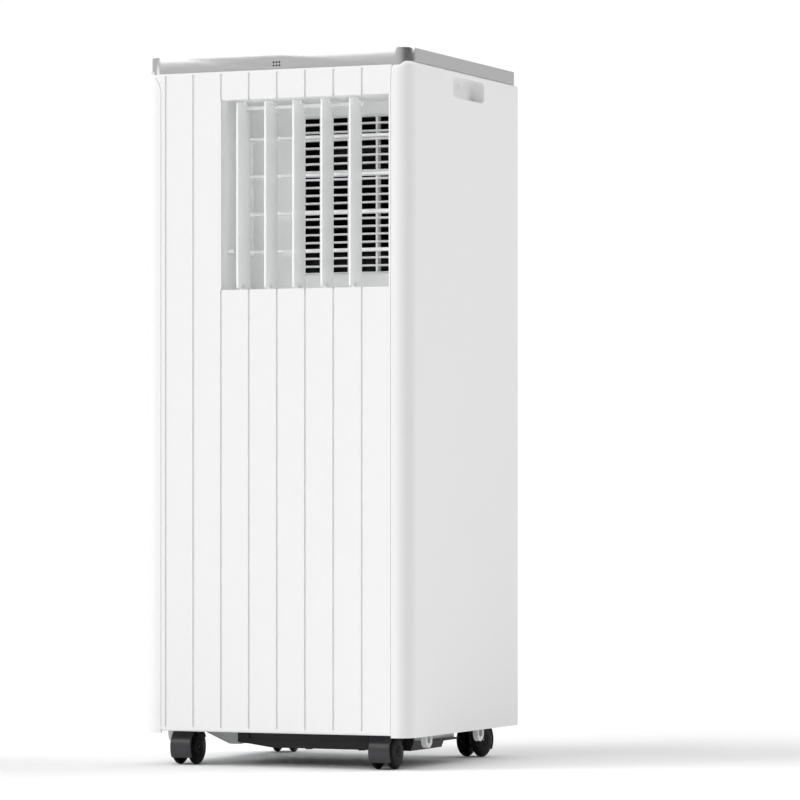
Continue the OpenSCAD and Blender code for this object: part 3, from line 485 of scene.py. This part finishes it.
# ---- Cap ----
# A satin silver-grey lid that closes the cabinet, its front skirt hanging down to the planks. Six
# small holes in the skirt let the remote receiver see out.
silver, silver_net, silver_shader = material("satin_silver", Metallic=0.85)
place = silver_net.add("ShaderNodeTexCoord", {}, {}, "Object")
stretched = silver_net.add("ShaderNodeMapping", {}, {"Vector": place, "Scale": (40, 40, 900)})
brushing = silver_net.add("ShaderNodeTexNoise", {}, {"Vector": stretched, "Scale": 1.0, "Detail": 4.0})
flakes = silver_net.add("ShaderNodeTexNoise", {}, {"Vector": place, "Scale": 2600.0, "Detail": 1.0})
feed(silver_net, silver_shader, {
    "Base Color": silver_net.mix((0.56, 0.565, 0.56, 1), (0.64, 0.64, 0.635, 1),
                                 brushing * 0.7 + flakes * 0.3),
    "Roughness": 0.15 + 0.14 * brushing,
    "Normal": silver_net.add("ShaderNodeBump", {}, {"Height": brushing * 0.6 + flakes * 0.4,
                                                    "Distance": 0.00003, "Strength": 0.5})})

cap_low, cap_high = box("top_cap")
cap_core = (cap_high.x - corner_r, cap_low.y + corner_r)
cap = bmesh.new()
top = outline(cap, [(x, y, cap_high.z) for x, y in ((cap_low.x, cap_low.y), (cap_high.x, cap_low.y),
                                                    (cap_high.x, cap_high.y), (cap_low.x, cap_high.y))])
bmesh.ops.bevel(cap, geom=[v for v in top.verts if v.co.y < 0], affect="VERTICES", offset=corner_r,
                segments=14, profile=0.5, material=-1)
rim = bmesh.ops.extrude_edge_only(cap, edges=cap.edges[:])["geom"]
for vert in [g for g in rim if isinstance(g, bmesh.types.BMVert)]:
    mirrored = Vector((abs(vert.co.x), vert.co.y, vert.co.z))
    facing = -to_core(mirrored, *cap_core).x
    bottom = side_high.z - (side_high.z - panel_top - 0.2) * (1 - crest(facing))
    vert.co.z = bottom if vert.co.y < 0 else side_high.z
upper = [e for e in cap.edges if all(abs(v.co.z - cap_high.z) < 0.01 for v in e.verts)]
bmesh.ops.bevel(cap, geom=upper, affect="EDGES", offset=0.4, segments=2, profile=0.5, material=-1)
control_low, control_high = box("control_panel")
control = (control_low + control_high) / 2
control_gap = 0.4
let_in(cap, 2, (control.x, control.y, cap_high.z),
       (control_high.x - control_low.x + 2 * control_gap, control_high.y - control_low.y + 2 * control_gap),
       8.4, [*quarter(0.25, False, 2), (0.01, 1.5)], (0, 0, -1))
hole_pitch, hole_size = 3.0, 1.8
hole_z = panel_top + 5.8
cut(cap, 0, [hole_pitch * k for k in (-1.5, -0.5, 0.5, 1.5)], lambda c: abs(c.y - cap_low.y) < 0.01)
cut(cap, 2, [hole_z + hole_pitch * k for k in (-1, 0, 1)],
    lambda c: abs(c.y - cap_low.y) < 0.01 and abs(c.x) < 1.5 * hole_pitch)
cells = faces_at(cap, lambda c: abs(c.y - cap_low.y) < 0.01 and abs(c.x) < 1.5 * hole_pitch
                 and abs(c.z - hole_z) < hole_pitch)
for cell in cells:
    bmesh.ops.inset_region(cap, faces=[cell], thickness=(hole_pitch - hole_size) / 2,
                           use_even_offset=True)
    bmesh.ops.bevel(cap, geom=cell.verts[:], affect="VERTICES", offset=0.5, segments=2, profile=0.5,
                    material=-1)
holes = [f for f in cap.faces if abs(f.calc_center_median().y - cap_low.y) < 0.01
         and f.calc_area() < 1.02 * hole_size ** 2
         and len(f.verts) > 8]
bmesh.ops.delete(cap, geom=holes, context="FACES_ONLY")
piece("silver_cap_moulding", cap, silver, "silver_cap", "cabinet", "top_cap", wall=2.6)

# ---- Control panel ----
# A glossy black insert on the cap with a smoked display window and four soft-touch buttons, each
# with a raised mark: power, mode, down and up. The board hangs underneath.


def dressed(name, node, finish, slot, body, rounding, joined=True):
    """A CAD part whose shape is right, with its edges rounded as a mould leaves them.

    Its flat faces are joined first, except where a lattice would make one face of many holes.
    """
    bm = bmesh.new()
    bm.from_mesh(frame["nodes"][node].data)
    bmesh.ops.remove_doubles(bm, verts=bm.verts, dist=0.000002)
    bmesh.ops.scale(bm, vec=(1000, 1000, 1000), verts=bm.verts)
    if joined:
        bmesh.ops.dissolve_limit(bm, angle_limit=radians(0.5), verts=bm.verts, edges=bm.edges)
    return piece(name, bm, finish, slot, body, node, rounding=rounding)


def coat(finish, *nodes):
    """Give CAD parts that are shown as they are their finish."""
    for node in nodes:
        mesh = frame["nodes"][node].data
        mesh.materials.clear()
        mesh.materials.append(finish)


def lathe(bm, profile, centre, axis, steps=40):
    """Turn a line of (radius, height) points about an axis through a centre."""
    axis = Vector(axis).normalized()
    across = axis.orthogonal().normalized()
    verts = [bm.verts.new(Vector(centre) + across * r + axis * h) for r, h in profile]
    edges = [bm.edges.new(pair) for pair in zip(verts, verts[1:])]
    bmesh.ops.spin(bm, geom=[*verts, *edges], cent=centre, axis=axis, angle=2 * pi, steps=steps,
                   use_merge=True)


def block(bm, low, high):
    low, high = Vector(low), Vector(high)
    place = Matrix.LocRotScale((low + high) / 2, None, high - low)
    return bmesh.ops.create_cube(bm, size=1, matrix=place)["verts"]


black_gloss = plastic("black_gloss", (0.012, 0.012, 0.014), 0.12, spread=0.03, grain=0.00001,
                      Coat_Weight=0.4, Coat_Roughness=0.05)
smoke = plastic("smoked_window", (0.02, 0.018, 0.02), 0.07, spread=0.02, grain=0.000005,
                Coat_Weight=0.6, Coat_Roughness=0.03)
soft_grey = plastic("soft_grey_button", (0.52, 0.53, 0.54), 0.5)
mark_white = plastic("printed_white", (0.8, 0.8, 0.8), 0.5)
dressed("control_insert", "control_panel", black_gloss, "black_gloss", "cabinet", 0.25)
dressed("display_window", "display_lens", smoke, "smoke_lens", "cabinet", 0.2)
for name in ("power", "mode", "down", "up"):
    low, high = box(f"button_{name}")
    centre = Vector(((low.x + high.x) / 2, (low.y + high.y) / 2, high.z))
    bm = bmesh.new()
    lathe(bm, [(0, -0.45), (3.4, -0.42), (5.4, -0.12), (6.1, 0), (6.6, -0.15), (6.9, -0.5), (7, -1),
               (7, -3.9), (8.6, -4), (8.6, -5.6), (8.2, -6), (2, -6), (2, -7.2), (1.7, -7.5), (0, -7.5)],
          centre, (0, 0, 1), 48)
    piece(f"{name}_button", bm, soft_grey, "grey_button", f"button_{name}", f"button_{name}")
    mark = bmesh.new()
    top = centre + Vector((0, 0, -0.4))
    if name in ("up", "down"):
        arrow = post(mark, 2.6, top, top + Vector((0, 0, 0.25)), 3)
        turn = Matrix.Rotation(0 if name == "up" else pi, 3, "Z")
        bmesh.ops.rotate(mark, cent=top, matrix=turn, verts=arrow)
    elif name == "power":
        arc = [top + Vector((2.2 * sin(radians(a)), 2.2 * cos(radians(a)), 0)) for a in range(40, 321, 20)]
        for a, b in zip(arc, arc[1:]):
            post(mark, 0.3, a, b, 8)
        block(mark, top + Vector((-0.3, 0.6, -0.05)), top + Vector((0.3, 3.1, 0.25)))
    else:
        for row in (-1.6, 0, 1.6):
            block(mark, top + Vector((-2.4, row - 0.3, -0.05)), top + Vector((2.4, row + 0.3, 0.2)))
    piece(f"{name}_mark", mark, mark_white, "grey_button", f"button_{name}")

# ---- Circuit boards ----
# Green glass-fibre boards, one behind the buttons and one in the electrical box, with copper
# tracks under the lacquer.
board, board_net, board_shader = material("green_board", Roughness=0.35)
place = board_net.add("ShaderNodeTexCoord", {}, {}, "Object")
tracks = board_net.add("ShaderNodeTexBrick", {"offset": 0.5}, {
    "Vector": place, "Scale": 160.0, "Mortar Size": 0.08, "Color1": (0.01, 0.10, 0.03, 1),
    "Color2": (0.012, 0.12, 0.04, 1), "Mortar": (0.05, 0.22, 0.08, 1)})
feed(board_net, board_shader, {"Base Color": tracks})
coat(board, "display_board", "control_board")

# ---- Outlet duct ----
# A white box behind the window that guides the air forwards. Pins of the vanes and slats turn in
# holes in its walls, and a fine fixed grille keeps fingers out of the blower.
vent_white = plastic("vent_white", (0.98, 0.985, 0.985), 0.40, mottle=0.006, Specular_IOR_Level=0.45,
                     Subsurface_Weight=0.5, Subsurface_Scale=0.003, Subsurface_Radius=(1, 1, 1))
black_plastic = plastic("black_plastic", (0.013, 0.013, 0.015), 0.42, mottle=0.1, Specular_IOR_Level=0.4)
dressed("air_duct", "outlet_duct", vent_white, "white_vent", "cabinet", 0.3)
dressed("finger_guard", "outlet_grille", vent_white, "white_vent", "cabinet", 0.25)

# ---- Vanes ----
# Five upright blades steer the air left and right. Each has a round nose, turns on two pins and is
# pulled by a peg at the top; one bar joins the five pegs.


def blade(bm, length_axis, centre, nose_y, tail_y, nose, thick, start, shoulder, end, shoulder_y):
    """A blade with a round nose, cut back behind shoulder_y over its last stretch."""
    across = 2 - length_axis
    corners = []
    for y, half in ((nose_y, nose / 2), (nose_y + nose, nose / 2), (nose_y + 2 * nose, thick / 2),
                    (tail_y, thick / 2)):
        corners += [(y, half), (y, -half)]
    ring = [corners[k] for k in (0, 2, 4, 6, 7, 5, 3, 1)]
    points = []
    for y, offset in ring:
        point = Vector((0, y, 0))
        point[across] = centre + offset
        point[length_axis] = start
        points.append(point)
    face = outline(bm, points)
    bmesh.ops.bevel(bm, geom=[v for v in face.verts if v.co.y < nose_y + 0.01], affect="VERTICES",
                    offset=nose * 0.49, segments=6, profile=0.5, material=-1)
    bmesh.ops.bevel(bm, geom=[v for v in bm.verts if v.co.y > tail_y - 0.01], affect="VERTICES",
                    offset=thick * 0.3, segments=2, profile=0.5, material=-1)
    move = Vector((0, 0, 0))
    move[length_axis] = shoulder - start
    push(bm, bm.faces[:], move)
    cut(bm, 1, [shoulder_y], lambda c: abs(c[length_axis] - shoulder) < 0.01)
    move[length_axis] = end - shoulder
    push(bm, faces_at(bm, lambda c: abs(c[length_axis] - shoulder) < 0.01 and c.y < shoulder_y), move)


def joint_at(name):
    """Where a joint is, in millimetres."""
    return Vector(next(j for j in frame["joints"] if j["name"] == name)["pos_m"]) * 1000


for k in range(1, 6):
    low, high = box(f"vane_{k}")
    x = (low.x + high.x) / 2
    pin_y = joint_at(f"vane_{k}_turn").y
    z0, z1 = window_z[0] + 2, window_z[1] - 2
    peg_y = pin_y + 11.5
    vane = bmesh.new()
    blade(vane, 2, x, low.y, high.y, 2.4, 1.8, z0, z1 - 7, z1, pin_y + 6)
    for base, tip in ((z0 - 1.6, z0 + 3), (z1 - 3, z1 + 1.6)):
        post(vane, 3, (x, pin_y, base), (x, pin_y, tip))
    post(vane, 2, (x, pin_y, low.z), (x, pin_y, z0 + 1))
    post(vane, 2, (x, pin_y, z1 - 1), (x, pin_y, high.z))
    post(vane, 2.1, (x, peg_y, z1 - 10), (x, peg_y, z1 - 7))
    post(vane, 1.5, (x, peg_y, z1 - 8), (x, peg_y, z1 - 0.5), 16)
    piece(f"upright_vane_{k}", vane, vent_white, "white_vent", f"vane_{k}", f"vane_{k}", rounding=0.2)
dressed("vane_tie_bar", "vane_link", vent_white, "white_vent", "vane_link", 0.35)

# ---- Slats ----
# Four level blades behind the vanes steer the air up and down. The lowest has a finger lever and
# the shaft of the swing motor; an upright bar joins all four.
for k in range(1, 5):
    pin_y, z = joint_at(f"slat_{k}_tilt").yz
    low, high = box(f"slat_{k}")
    x0, x1 = window_x[0] + 8.2, window_x[1] - 1.5
    y0, y1 = pin_y - 12, pin_y + 12
    peg = (pin_y + 9, z)
    slat = bmesh.new()
    blade(slat, 0, z, y0, y1, 3.0, 1.6, x1, x0 + 3, x0, pin_y + 5)
    for start, end, radius in ((x0 - 2, x0 + 4, 3), (x1 - 4, x1 + 0.8, 3), (low.x, x0 + 1, 2),
                               (x1 - 1, high.x, 2)):
        post(slat, radius, (start, pin_y, z), (end, pin_y, z))
    block(slat, (x0 - 0.5, pin_y, z - 0.8), (x0 + 3, peg[0] + 2, z + 0.8))
    post(slat, 1.5, (x0 - 5, *peg), (x0 + 0.5, *peg), 16)
    if k == 1:
        lever = (window_x[0] + 0.6, window_x[0] + 6.4)
        block(slat, (lever[0], low.y + 2, z - 1.2), (lever[1], pin_y, z + 1.2))
        post(slat, 2, (lever[0] - 0.1, low.y + 2, z), (lever[1] + 0.1, low.y + 2, z))
        block(slat, (lever[0] + 0.3, y0 + 3, z - 1.1), (x0 + 2, pin_y - 0.3, z + 1.1))
    piece(f"level_slat_{k}", slat, vent_white, "white_vent", f"slat_{k}", f"slat_{k}", rounding=0.2)
dressed("slat_tie_bar", "slat_link", vent_white, "white_vent", "slat_link", 0.3)

# ---- Base ----
# A light grey polypropylene pan that carries everything and catches the condensate, four lugs that
# tie the cabinet down in its carton, and a black tray under the sump.
base_grey = plastic("base_grey", (0.66, 0.67, 0.67), 0.35, mottle=0.03)
dressed("drip_pan", "base_pan", base_grey, "grey_base", "cabinet", 0.6)
dressed("sump_tray", "compressor_tray", black_plastic, "black_plastic", "cabinet", 0.5)

# ---- Casters ----
# Twin-wheel furniture casters: a nylon fork whose hood covers both wheels, and two black domed
# wheels on a steel axle. The stem presses into a socket in the base.
fork_black = plastic("fork_black", (0.03, 0.03, 0.033), 0.33, mottle=0.1, Specular_IOR_Level=0.5)
wheel_black = plastic("wheel_black", (0.005, 0.005, 0.006), 0.28, mottle=0.1, Specular_IOR_Level=0.06)
wheel_r = 17.0
trail = 5.0
hood_in, hood_out, hood_half = 17.8, 19.1, 11.0
hood_start, hood_sweep = radians(28), radians(184)
casters = ("fl", "fr", "rl", "rr")
hub = Vector((0, trail, wheel_r))
for corner in casters:
    stem = joint_at(f"caster_{corner}_swivel")
    back = joint_at(f"caster_{corner}_roll") - stem
    back.z = 0
    turned = Vector((0, 1, 0)).rotation_difference(back).to_matrix().to_4x4()
    place = Matrix.Translation((stem.x, stem.y, 0)) @ turned
    fork = bmesh.new()
    section = outline(fork, [hub + Vector((x, r * cos(hood_start), r * sin(hood_start))) for x, r in (
        (-hood_half, hood_in), (hood_half, hood_in), (hood_half, hood_out - 0.8), (hood_half - 0.8, hood_out),
        (0.8 - hood_half, hood_out), (-hood_half, hood_out - 0.8))])
    bmesh.ops.spin(fork, geom=[section, *section.edges, *section.verts], cent=hub, axis=(1, 0, 0),
                   angle=hood_sweep, steps=30)
    post(fork, 7, (0, 0, wheel_r + 15.5), (0, 0, wheel_r + hood_out + 0.6), 32)
    low, high = box(f"caster_{corner}_fork")
    post(fork, 4, (0, 0, wheel_r + hood_in), (0, 0, high.z), 24)
    web = post(fork, hood_in + 0.3, hub + Vector((-2, 0, 0)), hub + Vector((2, 0, 0)), 48)
    others = set(fork.verts) - set(web)
    for place_on, facing in (((0, 0, wheel_r - 5), (0, 0, -1)), ((0, trail + 7, 0), (0, 1, 0))):
        web = [v for v in fork.verts if v not in others]
        faces = {f for v in web for f in v.link_faces}
        edges = {e for v in web for e in v.link_edges}
        trim(fork, [*web, *edges, *faces], place_on, facing)
    bmesh.ops.transform(fork, matrix=place, verts=fork.verts)
    piece(f"caster_{corner}_hood", fork, fork_black, "caster_plastic", f"caster_{corner}",
          f"caster_{corner}_fork", rounding=0.3)
    wheels = bmesh.new()
    for side in (-1, 1):
        lathe(wheels, [(1.5, 3.4), (4, 3.2), (11.6, 3.2), (12.4, 3.5), (15.6, 6.1), (16.6, 7.0), (17, 7.8),
                       (17, 9.2), (16.7, 10.1), (15.9, 10.9), (14, 11.5), (11, 11.9), (7, 12.1), (6, 12.1),
                       (5.6, 11.6), (5, 11.6), (4.6, 12.0), (2.4, 12.2), (1.5, 11.6), (1.5, 3.4)],
              hub, (side, 0, 0), 56)
    bmesh.ops.transform(wheels, matrix=place, verts=wheels.verts)
    piece(f"caster_{corner}_twin_wheels", wheels, wheel_black, "caster_tread", f"caster_{corner}_wheelset",
          f"caster_{corner}_wheels")

# ---- Metals ----
# Bright steel for the axles and screws, spangled zinc for the motors and the electrical box, dull
# copper for the refrigerant pipes.


def metal(name, colour, dark, roughness, scale, spangled=False):
    made, net, shader = material(name, Metallic=1)
    place = net.add("ShaderNodeTexCoord", {}, {}, "Object")
    kind = "ShaderNodeTexVoronoi" if spangled else "ShaderNodeTexNoise"
    pattern = net.add(kind, {}, {"Vector": place, "Scale": scale})
    feed(net, shader, {"Base Color": net.mix((*colour, 1), (*dark, 1), pattern),
                       "Roughness": roughness + 0.2 * pattern})
    return made


steel = metal("bright_steel", (0.62, 0.63, 0.65), (0.45, 0.46, 0.47), 0.22, 400)
zinc = metal("spangled_zinc", (0.58, 0.60, 0.62), (0.40, 0.42, 0.44), 0.32, 90, spangled=True)
copper = metal("dull_copper", (0.72, 0.36, 0.22), (0.40, 0.20, 0.13), 0.3, 60)
coat(steel, *[f"caster_{corner}_axle" for corner in casters])
coat(zinc, "swing_motor", "upper_motor", "lower_motor", "electrical_box")
coat(copper, "refrigerant_pipes")

# ---- Screws ----
# Pan-head screws: four down each rear flange, and one at the bottom of the deep hole in each hand
# recess.
screws = bmesh.new()
rear_screw_x = side_high.x - 8.5
rear_screw_heights = (83.0, 332.0, 419.0, 642.9)
handle_screw_x = screw_well.x - screw_well_deep - 0.4
rear_face = box("rear_panel")[1].y
for side in (-1, 1):
    for z in rear_screw_heights:
        lathe(screws, [(0, 0.9), (1.1, 0.9), (1.3, 1.7), (2.2, 1.6), (3, 1.1), (3.2, 0.1), (1.5, 0.1),
                       (1.5, -9), (0, -10.5)], (side * rear_screw_x, rear_face, z), (0, 1, 0), 24)
    lathe(screws, [(0, 0.6), (1.2, 0.6), (1.5, 1.4), (2.6, 1.2), (3.2, 0.6), (3.3, 0), (1.6, 0), (1.6, -3),
                   (0, -3)], (side * handle_screw_x, screw_well.y, screw_well.z), (side, 0, 0), 24)
piece("casing_screws", screws, steel, "steel", "cabinet", "panel_screws")

# ---- Back ----
# A white back plate with the condenser's air slots, the clip-in intake grille with its filter net,
# the hose port, the drain plug and the gland for the mains lead.
dressed("back_plate", "rear_panel", white_abs, "white_panel", "cabinet", 0.4)
dressed("intake_louvre", "intake_grille", white_abs, "white_panel", "intake_filter", 0.4, joined=False)
port_low, port_high = box("exhaust_collar")
port = (port_low + port_high) / 2
collar = bmesh.new()
flange, sleeve_wall = 9.0, 2.5
port_r = (port_high.x - port_low.x) / 2 - flange
sleeve_r, flange_r = port_r + sleeve_wall, port_r + flange
lathe(collar, [(port_r, port_low.y), (port_r, port_high.y - 0.8), (port_r + 0.8, port_high.y),
               (sleeve_r - 0.8, port_high.y), (sleeve_r, port_high.y - 0.8), (sleeve_r, rear_face + 3.4),
               (sleeve_r + 0.7, rear_face + 2.7), (flange_r - 1, rear_face + 2.7),
               (flange_r, rear_face + 1.9), (flange_r, rear_face + 0.2), (sleeve_r, rear_face + 0.2),
               (sleeve_r, port_low.y), (port_r, port_low.y)], (port.x, 0, port.z), (0, 1, 0), 96)
piece("hose_collar", collar, white_abs, "white_panel", "cabinet", "exhaust_collar")

rubber = plastic("black_rubber", (0.02, 0.02, 0.02), 0.75, mottle=0.15, grain=0.00008, Specular_IOR_Level=0.3)
plug_low, plug_high = box("drain_plug")
plug_at = (plug_low + plug_high) / 2
plug = bmesh.new()
lathe(plug, [(0, plug_low.y), (3.6, plug_low.y), (4.4, plug_low.y + 1.2), (4.4, rear_face + 1.3),
             (8, rear_face + 1.3), (8, rear_face + 3.6), (7.2, rear_face + 4.4), (5, rear_face + 4.6),
             (0, rear_face + 4.6)],
      (plug_at.x, 0, plug_at.z), (0, 1, 0), 40)
block(plug, (plug_at.x - 5, rear_face + 4, plug_at.z - 0.9), (plug_at.x + 5, plug_high.y, plug_at.z + 0.9))
piece("drain_stopper", plug, rubber, "black_rubber", "drain_plug", "drain_plug", rounding=0.3)

gland_low, gland_high = box("cord_gland")
gland_at = (gland_low + gland_high) / 2
gland = bmesh.new()
lathe(gland, [(4, gland_low.y), (4, gland_high.y), (5, gland_high.y), (6.4, gland_high.y - 1.4),
              (6.5, rear_face + 3), (9, rear_face + 2.6), (9.5, rear_face + 2), (9.5, rear_face + 0.1),
              (6.5, rear_face + 0.1), (6.5, gland_low.y), (4, gland_low.y)],
      (gland_at.x, 0, gland_at.z), (0, 1, 0), 40)
piece("lead_gland", gland, black_plastic, "black_plastic", "cabinet", "cord_gland")

net_cloth, weave, weave_shader = material("filter_net")
threads_per_metre = 500.0
place = weave.add("ShaderNodeTexCoord", {}, {}, "Object")
gaps = []
for axis in (0, 2):
    across = weave.add("ShaderNodeSeparateXYZ", {}, {"Vector": place}, axis)
    gaps.append(weave.between(weave.maths("PINGPONG", across * threads_per_metre, 0.5), 0.2, 0.3))
cover = 1 - gaps[0] * gaps[1]
feed(weave, weave_shader, {"Base Color": weave.mix((0.02, 0.02, 0.022, 1), (0.09, 0.09, 0.095, 1), cover),
                           "Roughness": 0.8 - 0.2 * cover})
coat(net_cloth, "filter_mesh")

# ---- Heat exchangers ----
# Blocks of thin aluminium fins on copper tube, the evaporator behind the intake and the condenser behind the
# lower slots. The fins are light stripes in the colour, and the dark stripes between them are painted shade
# for the deep gaps.
fins, fin_net, fin_shader = material("coil_fins", Metallic=0.8)
fins_per_metre = 555.0
place = fin_net.add("ShaderNodeTexCoord", {}, {}, "Object")
across = fin_net.add("ShaderNodeSeparateXYZ", {}, {"Vector": place}, 0)
edges = fin_net.between(fin_net.maths("PINGPONG", across * fins_per_metre, 0.5), 0.1, 0.35)
dents = fin_net.add("ShaderNodeTexNoise", {}, {"Vector": place, "Scale": 30.0})
feed(fin_net, fin_shader, {
    # Painted shade: the dark colour between the light fin edges stands for the shade in the gaps between the
    # fins.
    "Base Color": fin_net.mix((0.10, 0.10, 0.11, 1), (0.62, 0.65, 0.68, 1), edges),
    "Roughness": 0.3 + 0.25 * dents,
    "Normal": fin_net.add("ShaderNodeBump", {}, {"Height": edges, "Distance": 0.0004})})
coat(fins, "evaporator", "condenser")

# ---- Inside ----
# Black blower housings and wheels, the painted compressor on its rubber feet, and the deck between
# the two chambers.
can_paint = plastic("can_paint", (0.015, 0.015, 0.016), 0.32, mottle=0.2, grain=0.0001)
coat(can_paint, "compressor")
coat(rubber, "compressor_feet")
coat(black_plastic, "upper_scroll", "lower_scroll", "upper_impeller", "lower_impeller")
coat(base_grey, "mid_deck")
